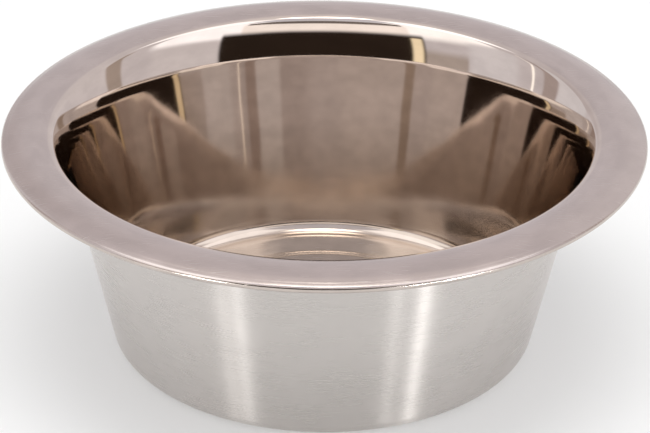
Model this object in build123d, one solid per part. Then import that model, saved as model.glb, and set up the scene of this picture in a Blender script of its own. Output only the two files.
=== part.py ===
from build123d import *
from math import atan2, cos, hypot, radians, sin, tan
import os

# Driving dimensions of the pressed bowl, in millimetres and degrees
sheet_thickness = 0.6
bowl_height = 83.2  # to the highest line of the rim
base_diameter = 152.0  # where the outside of the wall, drawn on, meets the table
wall_draft = 12.5  # lean of the wall from upright
rim_width = 20.5  # from the wall's outside, drawn on, to the rim's edge
rim_flare_radius = 37.0  # underside of the sheet where the wall starts to turn out
rim_flare_slope = 55.0  # slope where the flare ends and the tight shoulder starts
rim_shoulder_radius = 2.4  # underside of the shoulder
rim_brow_radius = 23.4  # underside of the domed rim, inside its highest line
rim_brow_slope = 18.0  # slope where the shoulder meets the dome
rim_fall = 23.5  # slope at the outer edge of the dome
rim_curl_bore = 1.5  # hollow left inside the curled edge
rim_curl_turn = 270.0
base_corner_radius = 6.0  # inside of the bowl, between wall and foot
foot_width = 13.0  # flat ring that stands on the table
panel_slope_width = 6.0  # from the foot in to the raised middle, seen from above
panel_rise = 2.4  # height of the raised middle over the foot
panel_bend_share = 0.4  # part of the slope that its two bends take up

# Sizes of the middle of the sheet, which the section follows
half_sheet = sheet_thickness / 2
corner_bend = base_corner_radius + half_sheet
flare_bend = rim_flare_radius + half_sheet
shoulder_bend = rim_shoulder_radius + half_sheet
brow_bend = rim_brow_radius + half_sheet
curl_bend = rim_curl_bore / 2 + half_sheet
lean = radians(wall_draft)
flare_slope = radians(rim_flare_slope)
brow_slope = radians(rim_brow_slope)
fall = radians(rim_fall)


def wall_outside(height):
    """Radius of the wall's outer face, drawn on straight, at a height over the table."""
    return base_diameter / 2 + height * tan(lean)


def wall_middle(height):
    """Radius of the middle of the sheet in the straight wall."""
    return wall_outside(height) - half_sheet / cos(lean)


def wall_top():
    """Where the straight wall ends and the sheet starts to flare outwards."""
    brow_rise = brow_bend * (1 - cos(brow_slope))
    shoulder_rise = shoulder_bend * (cos(brow_slope) - cos(flare_slope))
    flare_rise = flare_bend * (cos(flare_slope) - sin(lean))
    height = bowl_height - half_sheet - brow_rise - shoulder_rise - flare_rise
    return wall_middle(height), height


def floor_and_wall():
    """Raised middle, slope, foot and wall, from the axis outwards and up."""
    foot_end = wall_middle(half_sheet) - corner_bend * tan((radians(90) - lean) / 2)
    slope_end = foot_end - foot_width
    panel_end = slope_end - panel_slope_width
    panel_level = half_sheet + panel_rise
    corners = [
        (0, panel_level),
        (panel_end, panel_level),
        (slope_end, half_sheet),
        (wall_middle(half_sheet), half_sheet),
        wall_top(),
    ]
    slope_length = hypot(panel_slope_width, panel_rise)
    slope_turn = atan2(panel_rise, panel_slope_width)
    panel_bend = panel_bend_share * slope_length / 2 / tan(slope_turn / 2)
    return FilletPolyline(*corners, radius=[panel_bend, panel_bend, corner_bend])


def rim(wall):
    """Flare over the wall, shoulder, domed rim and curled edge."""
    flare = JernArc(wall @ 1, wall % 1, flare_bend, rim_flare_slope + wall_draft - 90)
    shoulder = JernArc(flare @ 1, flare % 1, shoulder_bend, rim_brow_slope - rim_flare_slope)
    brow = JernArc(shoulder @ 1, shoulder % 1, brow_bend, -rim_brow_slope)
    rim_radius = wall_outside(bowl_height) + rim_width
    dome_end = rim_radius - half_sheet - curl_bend * (1 - sin(fall))
    dome_bend = (dome_end - (brow @ 1).X) / sin(fall)
    dome = JernArc(brow @ 1, brow % 1, dome_bend, -rim_fall)
    curl = JernArc(dome @ 1, dome % 1, curl_bend, -rim_curl_turn)
    return flare + shoulder + brow + dome + curl


def bowl():
    """The whole pressing: one sheet of even thickness, turned about the bowl's axis."""
    wall = floor_and_wall()
    section = trace(wall + rim(wall), sheet_thickness)
    return revolve(Plane.XZ * section, Axis.Z)


os.makedirs("parts", exist_ok=True)
export_step(bowl(), "parts/bowl.step")
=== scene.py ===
import math

import bpy
from mathutils import Matrix, Vector


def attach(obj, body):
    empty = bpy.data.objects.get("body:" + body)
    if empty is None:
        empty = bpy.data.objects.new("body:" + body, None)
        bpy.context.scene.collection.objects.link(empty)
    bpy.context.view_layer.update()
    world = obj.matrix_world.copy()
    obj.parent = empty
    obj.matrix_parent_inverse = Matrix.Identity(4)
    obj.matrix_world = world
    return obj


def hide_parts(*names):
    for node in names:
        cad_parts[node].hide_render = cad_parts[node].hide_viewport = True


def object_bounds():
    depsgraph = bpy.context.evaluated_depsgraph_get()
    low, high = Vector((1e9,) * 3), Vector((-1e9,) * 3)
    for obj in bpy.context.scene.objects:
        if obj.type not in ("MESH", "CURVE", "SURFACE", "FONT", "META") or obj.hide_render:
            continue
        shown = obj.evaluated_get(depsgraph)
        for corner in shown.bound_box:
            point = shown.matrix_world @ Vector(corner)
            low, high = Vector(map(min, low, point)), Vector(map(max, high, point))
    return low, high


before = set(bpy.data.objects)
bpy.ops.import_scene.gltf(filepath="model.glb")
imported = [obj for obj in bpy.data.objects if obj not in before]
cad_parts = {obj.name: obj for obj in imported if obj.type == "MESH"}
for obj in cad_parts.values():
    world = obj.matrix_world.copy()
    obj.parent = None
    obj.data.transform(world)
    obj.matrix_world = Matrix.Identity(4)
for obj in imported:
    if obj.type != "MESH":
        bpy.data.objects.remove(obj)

cadLow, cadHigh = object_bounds()
print("frame loaded, CAD box", [round(v, 4) for v in (*cadLow, *cadHigh)])


# small helpers

def deselectAll():
    bpy.ops.object.select_all(action="DESELECT")


def makeActive(obj):
    deselectAll()
    obj.select_set(True)
    bpy.context.view_layer.objects.active = obj


def applyModifier(obj, kind, **settings):
    modifier = obj.modifiers.new(kind.title(), kind)
    for name, value in settings.items():
        setattr(modifier, name, value)
    makeActive(obj)
    bpy.ops.object.modifier_apply(modifier=modifier.name)


# helpers for the finishes and the stage

def newMaterial(name):
    material = bpy.data.materials.new(name)
    material.use_nodes = True
    tree = material.node_tree
    return material, tree, tree.nodes["Principled BSDF"]


def feed(tree, socket, value):
    # links a socket to another one, or sets it to a number or a colour
    if isinstance(value, bpy.types.NodeSocket):
        tree.links.new(value, socket)
    elif isinstance(value, tuple):
        socket.default_value = (*value, 1)
    else:
        socket.default_value = value


def mathNode(tree, operation, first, second=None):
    node = tree.nodes.new("ShaderNodeMath")
    node.operation = operation
    feed(tree, node.inputs[0], first)
    if second is not None:
        feed(tree, node.inputs[1], second)
    return node.outputs[0]


def fade(tree, value, low, high, fromValue=0.0, toValue=1.0):
    # smooth change between two limits of a value
    node = tree.nodes.new("ShaderNodeMapRange")
    node.interpolation_type = "SMOOTHSTEP"
    feed(tree, node.inputs["Value"], value)
    feed(tree, node.inputs["From Min"], low)
    feed(tree, node.inputs["From Max"], high)
    feed(tree, node.inputs["To Min"], fromValue)
    feed(tree, node.inputs["To Max"], toValue)
    return node.outputs["Result"]


def mixColours(tree, factor, first, second, blend="MIX"):
    node = tree.nodes.new("ShaderNodeMix")
    node.data_type = "RGBA"
    node.blend_type = blend
    sockets = {socket.identifier: socket for socket in (*node.inputs, *node.outputs)}
    feed(tree, sockets["Factor_Float"], factor)
    feed(tree, sockets["A_Color"], first)
    feed(tree, sockets["B_Color"], second)
    return sockets["Result_Color"]


def mixShaders(tree, factor, first, second):
    node = tree.nodes.new("ShaderNodeMixShader")
    for socket, value in zip(node.inputs, (factor, first, second)):
        feed(tree, socket, value)
    return node.outputs[0]


# patterns of the steel

noiseMiddle = 0.5
axisHub = 0.004             # keeps the lines finite at the bowl's axis


def bowlPlace(tree):
    # point on the bowl, its distance from the axis and its height over the table
    point = tree.nodes.new("ShaderNodeTexCoord").outputs["Object"]
    split = tree.nodes.new("ShaderNodeSeparateXYZ")
    feed(tree, split.inputs[0], point)
    squareX = mathNode(tree, "POWER", split.outputs["X"], 2)
    squareY = mathNode(tree, "POWER", split.outputs["Y"], 2)
    radius = mathNode(tree, "SQRT", mathNode(tree, "ADD", squareX, squareY))
    return point, radius, split.outputs["Z"]


def noise(tree, vector, scale, detail):
    node = tree.nodes.new("ShaderNodeTexNoise")
    feed(tree, node.inputs["Vector"], vector)
    feed(tree, node.inputs["Scale"], scale)
    feed(tree, node.inputs["Detail"], detail)
    return node.outputs["Fac"]


def polishLines(tree, place, lines):
    # fine lines that run round the bowl, without a seam
    point, radius, height = place
    flat = tree.nodes.new("ShaderNodeVectorMath")
    flat.operation = "MULTIPLY"
    feed(tree, flat.inputs[0], point)
    flat.inputs[1].default_value = (1, 1, 0)
    around = tree.nodes.new("ShaderNodeVectorMath")
    around.operation = "SCALE"
    feed(tree, around.inputs[0], flat.outputs[0])
    reach = mathNode(tree, "MAXIMUM", radius, axisHub)
    feed(tree, around.inputs["Scale"], mathNode(tree, "DIVIDE", lines["turns"], reach))
    row = tree.nodes.new("ShaderNodeCombineXYZ")
    along = mathNode(tree, "ADD", radius, height)
    feed(tree, row.inputs["Z"], mathNode(tree, "MULTIPLY", along, lines["rows"]))
    total = tree.nodes.new("ShaderNodeVectorMath")
    feed(tree, total.inputs[0], around.outputs[0])
    feed(tree, total.inputs[1], row.outputs[0])
    pattern = noise(tree, total.outputs[0], 1.0, lines["detail"])
    # the lines die away towards the axis, where they would meet
    swing = mathNode(tree, "SUBTRACT", pattern, noiseMiddle)
    swing = mathNode(tree, "MULTIPLY", swing, fade(tree, radius, *lines["reach"]))
    return mathNode(tree, "ADD", swing, noiseMiddle)


def scratchLines(tree, point, scratch):
    # sparse fine scratches in a few directions
    total = None
    for turn in scratch["turns"]:
        spread = tree.nodes.new("ShaderNodeMapping")
        feed(tree, spread.inputs["Vector"], point)
        spread.inputs["Location"].default_value = (turn, turn, 0)
        spread.inputs["Rotation"].default_value = (0, 0, math.radians(turn))
        spread.inputs["Scale"].default_value = (scratch["length"], scratch["rows"], scratch["length"])
        pattern = noise(tree, spread.outputs[0], 1.0, scratch["detail"])
        marks = fade(tree, pattern, *scratch["crest"])
        total = mathNode(tree, "MAXIMUM", total, marks) if total else marks
    return total


def varied(tree, value, pattern, share):
    # a value that swings with a pattern, by a share of itself
    swing = mathNode(tree, "SUBTRACT", pattern, noiseMiddle)
    swing = mathNode(tree, "MULTIPLY", swing, share / noiseMiddle)
    return mathNode(tree, "MULTIPLY", value, mathNode(tree, "ADD", swing, 1))


def smudged(tree, colour, pattern, smudge):
    # slightly darker and lighter patches of a colour
    half = smudge["tone"] / 2
    tone = fade(tree, pattern, *smudge["span"], 1 - half, 1 + half)
    return mixColours(tree, 1.0, colour, tone, "MULTIPLY")


def bump(tree, pattern, height, under=None):
    node = tree.nodes.new("ShaderNodeBump")
    feed(tree, node.inputs["Distance"], height)
    feed(tree, node.inputs["Height"], pattern)
    if under:
        feed(tree, node.inputs["Normal"], under)
    return node.outputs[0]


# finish of the inside, the rim and its curled edge

insideFinish = {
    "colour": (0.648, 0.572, 0.508),
    "paintedShadeTint": (0.81, 0.785, 0.75),        # painted shade: darker, browner colour low on the wall
    # painted reflected light: the floor lighter and cooler, lightest on the ring round the raised middle
    "floorSheenTint": (1.03, 1.06, 1.09),
    "troughHighlightTint": (1.09, 1.13, 1.16),       # painted highlight: the ring round the raised middle is lighter
    "rimTint": (0.885, 0.885, 0.91),
    "roughness": {"wall": 0.05, "deep": 0.12, "floor": 0.12, "rim": 0.17, "edge": 0.22},
    "deepHeight": (0.004, 0.038),           # from the dull lower wall to the full polish
    "paintedShadeHeight": (0.012, 0.052),
    "floorEnd": (0.068, 0.073),             # radius, as the next three
    "troughStart": (0.051, 0.057),
    "rimStart": (0.098, 0.099),
    "edgeStart": (0.1122, 0.1132),
    "grain": {
        "turns": 5, "rows": 1400, "detail": 4, "reach": (0, 0.02),
        "height": 0.4e-6, "roughness": 0.25,
    },
    "wave": {"scale": 28, "detail": 1.0, "height": 110e-6},
    "smudge": {
        "turns": 7, "rows": 150, "detail": 4, "reach": (0.02, 0.075),
        "roughness": 0.4, "tone": 0.10, "span": (0.3, 0.7),
    },
    "scratch": {
        "turns": (18, -52, 74), "length": 70, "rows": 2600, "detail": 1.0,
        "crest": (0.725, 0.775), "roughness": 0.18,
    },
}


def polishedInside(finish):
    material, tree, shader = newMaterial("polishedInside")
    shader.inputs["Metallic"].default_value = 1
    place = bowlPlace(tree)
    point, radius, height = place
    # zones, from the middle outwards
    floor = fade(tree, radius, *finish["floorEnd"], 1, 0)
    trough = fade(tree, radius, *finish["troughStart"])
    deep = fade(tree, height, *finish["deepHeight"], 1, 0)
    # painted shade low on the wall, kept off the floor
    lowShade = fade(tree, height, *finish["paintedShadeHeight"], 1, 0)
    lowShade = mathNode(tree, "MAXIMUM", mathNode(tree, "SUBTRACT", lowShade, floor), 0)
    rim = fade(tree, radius, *finish["rimStart"])
    edge = fade(tree, radius, *finish["edgeStart"])
    grain = polishLines(tree, place, finish["grain"])
    smudge = polishLines(tree, place, finish["smudge"])
    # colour
    # painted reflected light on the floor and its ring
    floorSheenTint = mixColours(tree, trough, finish["floorSheenTint"], finish["troughHighlightTint"])
    # painted shade low on the wall
    tint = mixColours(tree, lowShade, (1.0, 1.0, 1.0), finish["paintedShadeTint"])
    tint = mixColours(tree, floor, tint, floorSheenTint)
    tint = mixColours(tree, rim, tint, finish["rimTint"])
    colour = mixColours(tree, 1.0, finish["colour"], tint, "MULTIPLY")
    feed(tree, shader.inputs["Base Color"], smudged(tree, colour, smudge, finish["smudge"]))
    # roughness, with scratches where the bowl is handled and filled
    rough = finish["roughness"]
    total = fade(tree, deep, 0, 1, rough["wall"], rough["deep"])
    steps = (
        (floor, rough["floor"] - rough["deep"]),
        (rim, rough["rim"] - rough["wall"]),
        (edge, rough["edge"] - rough["rim"]),
    )
    for zone, change in steps:
        total = mathNode(tree, "ADD", total, mathNode(tree, "MULTIPLY", zone, change))
    total = varied(tree, total, grain, finish["grain"]["roughness"])
    total = varied(tree, total, smudge, finish["smudge"]["roughness"])
    scratch = scratchLines(tree, point, finish["scratch"])
    scratch = mathNode(tree, "MULTIPLY", scratch, mathNode(tree, "MAXIMUM", rim, floor))
    worn = mathNode(tree, "MULTIPLY", scratch, finish["scratch"]["roughness"])
    feed(tree, shader.inputs["Roughness"], mathNode(tree, "ADD", total, worn))
    # slight waves and grain of the sheet, none on the curled edge
    flat = mathNode(tree, "SUBTRACT", 1, edge)
    wave = noise(tree, point, finish["wave"]["scale"], finish["wave"]["detail"])
    normal = bump(tree, mathNode(tree, "MULTIPLY", wave, flat), finish["wave"]["height"])
    normal = bump(tree, mathNode(tree, "MULTIPLY", grain, flat), finish["grain"]["height"], normal)
    feed(tree, shader.inputs["Normal"], normal)
    return material


# finish of the outside

outsideFinish = {
    "colour": (0.655, 0.62, 0.592),
    "roughness": 0.28,
    "anisotropy": 1.0,
    "brushTurn": 0.25,                      # share of a turn: the brushing runs round the bowl
    "grain": {
        "turns": 4, "rows": 2200, "detail": 4, "reach": (0, 0.02),
        "height": 0.08e-6, "roughness": 0.1,
    },
    "smudge": {
        "turns": 5, "rows": 70, "detail": 1.5, "reach": (0.02, 0.07),
        "roughness": 0.06, "tone": 0.035, "span": (0.3, 0.7),
    },
}


def satinOutside(finish):
    material, tree, shader = newMaterial("satinOutside")
    shader.inputs["Metallic"].default_value = 1
    place = bowlPlace(tree)
    grain = polishLines(tree, place, finish["grain"])
    smudge = polishLines(tree, place, finish["smudge"])
    colour = smudged(tree, finish["colour"], smudge, finish["smudge"])
    feed(tree, shader.inputs["Base Color"], colour)
    rough = varied(tree, finish["roughness"], grain, finish["grain"]["roughness"])
    rough = varied(tree, rough, smudge, finish["smudge"]["roughness"])
    feed(tree, shader.inputs["Roughness"], rough)
    feed(tree, shader.inputs["Normal"], bump(tree, grain, finish["grain"]["height"]))
    shader.inputs["Anisotropic"].default_value = finish["anisotropy"]
    shader.inputs["Anisotropic Rotation"].default_value = finish["brushTurn"]
    tangent = tree.nodes.new("ShaderNodeTangent")
    tangent.direction_type = "RADIAL"
    tangent.axis = "Z"
    feed(tree, shader.inputs["Tangent"], tangent.outputs[0])
    return material


finishes = [polishedInside(insideFinish), satinOutside(outsideFinish)]
print("finishes made")


# the bowl: one steel sheet, its middle line drawn in section and spun

bowlSheet = {
    "rimRadius": cadHigh.x,
    "height": cadHigh.z,
    "thickness": 0.0006,
    "baseRadius": 0.076,            # wall's outside, drawn on to the table
    "lean": math.radians(12.5),
    "flareRadius": 0.037,           # underside of the sheet, as the next two
    "shoulderRadius": 0.0024,
    "browRadius": 0.0234,
    "flareSlope": math.radians(55),
    "browSlope": math.radians(18),
    "fall": math.radians(23.5),     # slope at the edge of the domed rim
    "curlBore": 0.0015,
    "curlTurn": math.radians(270),
    "cornerRadius": 0.006,          # inside of the bowl
    "footWidth": 0.013,
    "slopeWidth": 0.006,
    "panelRise": 0.0024,
    "bendShare": 0.4,               # part of the slope that its two bends take
    "steps": {
        "panel": 12, "slopeBend": 6, "slope": 2, "foot": 5, "corner": 24, "wall": 24,
        "flare": 24, "shoulder": 10, "brow": 8, "dome": 10, "curl": 18,
    },
    "turns": 288,                   # steps round the axis
    "mergeGap": 0.00002,
    "smoothAngle": math.radians(40),
}


def sheetMoves(sheet):
    # straight runs and bends of the sheet's middle line, from the axis outwards
    half = sheet["thickness"] / 2
    cornerBend = sheet["cornerRadius"] + half
    flareBend = sheet["flareRadius"] + half
    shoulderBend = sheet["shoulderRadius"] + half
    browBend = sheet["browRadius"] + half
    curlBend = sheet["curlBore"] / 2 + half
    lean, flare, brow, fall = sheet["lean"], sheet["flareSlope"], sheet["browSlope"], sheet["fall"]
    upright = math.radians(90) - lean

    def wallAt(height):
        return sheet["baseRadius"] + height * math.tan(lean) - half / math.cos(lean)

    cornerReach = cornerBend * math.tan(upright / 2)
    slopeLength = math.hypot(sheet["slopeWidth"], sheet["panelRise"])
    slopeTurn = math.atan2(sheet["panelRise"], sheet["slopeWidth"])
    slopeReach = sheet["bendShare"] * slopeLength / 2
    slopeBend = slopeReach / math.tan(slopeTurn / 2)
    panel = wallAt(half) - cornerReach - sheet["footWidth"] - sheet["slopeWidth"] - slopeReach
    browRise = browBend * (1 - math.cos(brow))
    shoulderRise = shoulderBend * (math.cos(brow) - math.cos(flare))
    flareRise = flareBend * (math.cos(flare) - math.sin(lean))
    wallTop = sheet["height"] - half - browRise - shoulderRise - flareRise
    wall = (wallTop - half) / math.cos(lean) - cornerReach
    flareWidth = flareBend * (math.cos(lean) - math.sin(flare))
    shoulderWidth = shoulderBend * (math.sin(flare) - math.sin(brow))
    summit = wallAt(wallTop) + flareWidth + shoulderWidth + browBend * math.sin(brow)
    domeEnd = sheet["rimRadius"] - half - curlBend * (1 - math.sin(fall))
    domeBend = (domeEnd - summit) / math.sin(fall)
    start = (0, half + sheet["panelRise"])
    steps = sheet["steps"]
    return start, [
        # kind, length or turn, radius of a bend, steps
        ("run", panel, None, steps["panel"]),
        ("bend", -slopeTurn, slopeBend, steps["slopeBend"]),
        ("run", slopeLength - 2 * slopeReach, None, steps["slope"]),
        ("bend", slopeTurn, slopeBend, steps["slopeBend"]),
        ("run", sheet["footWidth"] - slopeReach, None, steps["foot"]),
        ("bend", upright, cornerBend, steps["corner"]),
        ("run", wall, None, steps["wall"]),
        ("bend", flare - upright, flareBend, steps["flare"]),
        ("bend", brow - flare, shoulderBend, steps["shoulder"]),
        ("bend", -brow, browBend, steps["brow"]),
        ("bend", -fall, domeBend, steps["dome"]),
        ("bend", -sheet["curlTurn"], curlBend, steps["curl"]),
    ]


def sheetLine(sheet):
    (radius, height), moves = sheetMoves(sheet)
    heading = 0.0
    line = [(radius, height)]
    for kind, amount, bend, steps in moves:
        turn = amount / steps if kind == "bend" else 0.0
        step = 2 * bend * math.sin(abs(turn) / 2) if kind == "bend" else amount / steps
        for _ in range(steps):
            heading += turn / 2
            radius += step * math.cos(heading)
            height += step * math.sin(heading)
            heading += turn / 2
            line.append((radius, height))
    return line


def makeBowl(sheet, sides):
    line = sheetLine(sheet)
    deselectAll()
    bpy.ops.mesh.primitive_plane_add(size=sheet["thickness"])
    bowl = bpy.context.object
    bowl.name = "steelBowl"
    bowl.data.name = "steelBowl"
    for finish in sides:
        bowl.data.materials.append(finish)
    bpy.ops.object.mode_set(mode="EDIT")
    bpy.ops.mesh.select_mode(type="VERT")
    bpy.ops.mesh.select_all(action="SELECT")
    bpy.ops.mesh.merge(type="CENTER")
    bpy.ops.transform.translate(value=(line[0][0], 0, line[0][1]))
    for (r0, z0), (r1, z1) in zip(line, line[1:]):
        bpy.ops.mesh.extrude_region_move(TRANSFORM_OT_translate={"value": (r1 - r0, 0, z1 - z0)})
    bpy.ops.mesh.select_all(action="SELECT")
    bpy.ops.mesh.spin(steps=sheet["turns"], angle=math.tau, center=(0, 0, 0), axis=(0, 0, 1))
    bpy.ops.mesh.select_all(action="SELECT")
    bpy.ops.mesh.remove_doubles(threshold=sheet["mergeGap"])
    bpy.ops.mesh.normals_make_consistent(inside=False)
    bpy.ops.object.mode_set(mode="OBJECT")
    # the second finish goes on the other side of the sheet
    applyModifier(bowl, "SOLIDIFY", thickness=sheet["thickness"], offset=0, use_even_offset=True,
                  use_quality_normals=True, material_offset=1, material_offset_rim=1)
    makeActive(bowl)
    bpy.ops.object.shade_smooth_by_angle(angle=sheet["smoothAngle"])
    return bowl


bowl = makeBowl(bowlSheet, finishes)
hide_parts("bowl")
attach(bowl, "root")
print("bowl modelled:", len(bowl.data.polygons), "faces")


# stage: floor, light tent, lamps and camera

floorSet = {
    "size": 30.0,
    "colour": (0.9, 0.9, 0.9),
    "roughness": 0.9,
    "shine": 0,
    "whiteShare": 0.28,             # part of the floor that shows as plain white
}


def raySum(tree, *kinds):
    path = tree.nodes.new("ShaderNodeLightPath")
    total = path.outputs[kinds[0]]
    for kind in kinds[1:]:
        total = mathNode(tree, "MAXIMUM", total, path.outputs[kind])
    return total


def makeFloor(settings):
    deselectAll()
    bpy.ops.mesh.primitive_plane_add(size=settings["size"])
    floor = bpy.context.object
    floor.name = "paleFloor"
    material, tree, shader = newMaterial("paleFloor")
    feed(tree, shader.inputs["Base Color"], settings["colour"])
    feed(tree, shader.inputs["Roughness"], settings["roughness"])
    feed(tree, shader.inputs["Specular IOR Level"], settings["shine"])
    white = tree.nodes.new("ShaderNodeEmission")
    seen = raySum(tree, "Is Camera Ray", "Is Glossy Ray", "Is Transmission Ray")
    share = mathNode(tree, "MULTIPLY", seen, settings["whiteShare"])
    mixed = mixShaders(tree, share, shader.outputs[0], white.outputs[0])
    feed(tree, tree.nodes["Material Output"].inputs["Surface"], mixed)
    floor.data.materials.append(material)


makeFloor(floorSet)

# the tent's cloth and what differs from it, in degrees across from the far side and up from the
# floor; a part lies between two angles across, or beyond them, and later parts cover earlier ones
tentSet = {
    "cloth": (0.775, 0.735, 0.78),
    "plainLight": 0.75,
    "soft": 1.0,
    "parts": {
        "farLeft": {"across": (-75, -14), "up": (8, 42), "soft": 10, "tone": (0.67, 0.62, 0.65)},
        "farRight": {"across": (14, 75), "up": (8, 42), "soft": 10, "tone": (0.84, 0.80, 0.84)},
        "upperCloth": {"up": (57, 81), "soft": 4, "tone": (0.93, 0.88, 0.91)},
        "frontCeiling": {"beyond": (-138, 138), "up": (45, 81), "soft": 3, "tone": (0.80, 0.80, 0.90)},
        "leftBox": {"across": (-150, -96), "up": (31, 51), "soft": 4, "tone": (1.65, 1.65, 1.7)},
        "rightBox": {"across": (96, 150), "up": (28, 51), "soft": 4, "tone": (1.65, 1.65, 1.75)},
        "leftHighBox": {"across": (-136, -56), "up": (51, 76), "soft": 4, "tone": (2.0, 2.0, 2.1)},
        "rightHighBox": {"across": (56, 136), "up": (51, 76), "soft": 4, "tone": (1.8, 1.8, 1.9)},
        "ceilingLamp": {"up": (81, 120), "soft": 1.5, "tone": (4.5, 4.3, 4.2)},
        "leftPanel": {"across": (-112, -86), "up": (-90, 32), "soft": 3, "tone": (0.88, 0.86, 0.92)},
        "rightPanel": {"across": (97, 131), "up": (-90, 28), "soft": 3, "tone": (0.84, 0.80, 0.84)},
        "leftGrey": {"across": (-138, -113), "up": (-90, 18), "softUp": 5, "tone": (0.56, 0.49, 0.46)},
        "leftGlow": {"across": (-62, -40), "up": (-90, 40), "soft": 2, "tone": (0.88, 0.86, 0.92)},
        "leftSeam": {"across": (-71, -62), "up": (-90, 40), "tone": (0.52, 0.44, 0.43)},
        "leftLine": {"across": (-78.2, -76.8), "up": (-90, 40), "soft": 0.4, "tone": (1.7, 1.65, 1.6)},
        "rightSeam": {"across": (71, 80), "up": (-90, 40), "tone": (0.5, 0.42, 0.38)},
        "frontBand": {"beyond": (-140, 140), "up": (32, 43), "softUp": 1.5, "tone": (1.4, 1.32, 1.3)},
        "frontGap": {"beyond": (-142, 142), "up": (42, 45.5), "softUp": 0.5, "tone": (0.2, 0.17, 0.16)},
        "frontOpening": {"beyond": (-134, 131), "up": (-90, 33), "softUp": 3, "tone": (0.03, 0.02, 0.015)},
        "goldEdge": {"across": (-140, -135), "up": (-90, 30), "tone": (1.3, 1.12, 0.8)},
    },
}


def angleMask(tree, angle, low, high, soft):
    low, high, soft = (math.radians(v) for v in (low, high, soft))
    rising = fade(tree, angle, low - soft, low + soft)
    falling = fade(tree, angle, high - soft, high + soft, 1, 0)
    return mathNode(tree, "MULTIPLY", rising, falling)


def makeTent(tent):
    world = bpy.data.worlds.new("lightTent")
    bpy.context.scene.world = world
    world.use_nodes = True
    tree = world.node_tree
    split = tree.nodes.new("ShaderNodeSeparateXYZ")
    feed(tree, split.inputs[0], tree.nodes.new("ShaderNodeTexCoord").outputs["Generated"])
    across = mathNode(tree, "ARCTAN2", split.outputs["X"], split.outputs["Y"])
    up = mathNode(tree, "ARCSINE", split.outputs["Z"])
    tone = tent["cloth"]
    for part in tent["parts"].values():
        soft = part.get("soft", tent["soft"])
        mask = angleMask(tree, up, *part["up"], part.get("softUp", soft))
        if "across" in part:
            band = angleMask(tree, across, *part["across"], soft)
            mask = mathNode(tree, "MULTIPLY", mask, band)
        elif "beyond" in part:
            between = angleMask(tree, across, *part["beyond"], soft)
            mask = mathNode(tree, "MULTIPLY", mask, mathNode(tree, "SUBTRACT", 1, between))
        tone = mixColours(tree, mask, tone, part["tone"])
    cloth = tree.nodes["Background"]
    feed(tree, cloth.inputs["Color"], tone)
    plain = tree.nodes.new("ShaderNodeBackground")
    feed(tree, plain.inputs["Color"], (1, 1, 1))
    feed(tree, plain.inputs["Strength"], tent["plainLight"])
    # the floor gets plain light, the steel mirrors the tent
    lit = mixShaders(tree, raySum(tree, "Is Diffuse Ray"), cloth.outputs[0], plain.outputs[0])
    feed(tree, tree.nodes["World Output"].inputs["Surface"], lit)


makeTent(tentSet)

lampSet = {
    "overhead": {"size": (1.4, 0.9), "place": (0, -0.1, 1.8), "power": 14, "gloss": False},
    "leftStrip": {"size": (0.05, 0.1), "place": (-0.75, -1.06, 0.05), "power": 2.0, "gloss": True},
    "leftThinStrip": {"size": (0.02, 0.1), "place": (-0.88, -0.95, 0.05), "power": 1.1, "gloss": True},
    "rightStrip": {"size": (0.035, 0.1), "place": (0.88, -0.955, 0.05), "power": 3.6, "gloss": True},
    "rightThinStrip": {"size": (0.02, 0.1), "place": (0.66, -1.115, 0.05), "power": 1.2, "gloss": True},
}


def makeLamp(name, lamp):
    data = bpy.data.lights.new(name, "AREA")
    data.shape = "RECTANGLE"
    data.size, data.size_y = lamp["size"]
    data.energy = lamp["power"]
    obj = bpy.data.objects.new(name, data)
    bpy.context.scene.collection.objects.link(obj)
    obj.location = lamp["place"]
    obj.rotation_mode = "QUATERNION"
    obj.rotation_quaternion = (-Vector(lamp["place"])).to_track_quat("-Z", "Y")
    obj.visible_glossy = lamp["gloss"]
    obj.visible_diffuse = not lamp["gloss"]
    obj.visible_camera = False


for name, lamp in lampSet.items():
    makeLamp(name, lamp)

cameraSet = {
    "focalPixels": 3000,            # lens length over one pixel of the picture
    "frameWidth": 650,
    "sensor": 36.0,
    "distance": 1.0698,             # from the middle of the rim
    "elevation": math.radians(26.225),
    "downTilt": math.radians(27.965),
    "yaw": math.radians(0.026),
    "roll": math.radians(0.509),
}


def makeCamera(settings, target):
    data = bpy.data.cameras.new("camera")
    data.sensor_width = settings["sensor"]
    data.lens = settings["sensor"] * settings["focalPixels"] / settings["frameWidth"]
    camera = bpy.data.objects.new("camera", data)
    bpy.context.scene.collection.objects.link(camera)
    back = Vector((0, -math.cos(settings["elevation"]), math.sin(settings["elevation"])))
    place = target + back * settings["distance"]
    turn = (Matrix.Rotation(-settings["yaw"], 4, "Z")
            @ Matrix.Rotation(math.radians(90) - settings["downTilt"], 4, "X")
            @ Matrix.Rotation(settings["roll"], 4, "Z"))
    camera.matrix_world = Matrix.Translation(place) @ turn
    bpy.context.scene.camera = camera


makeCamera(cameraSet, Vector((0, 0, bowlSheet["height"])))
bpy.context.scene.view_settings.view_transform = "Standard"
mirrorCrossings = 12                # the light crosses the polished inside many times
bpy.context.scene.cycles.glossy_bounces = mirrorCrossings
print("stage set")
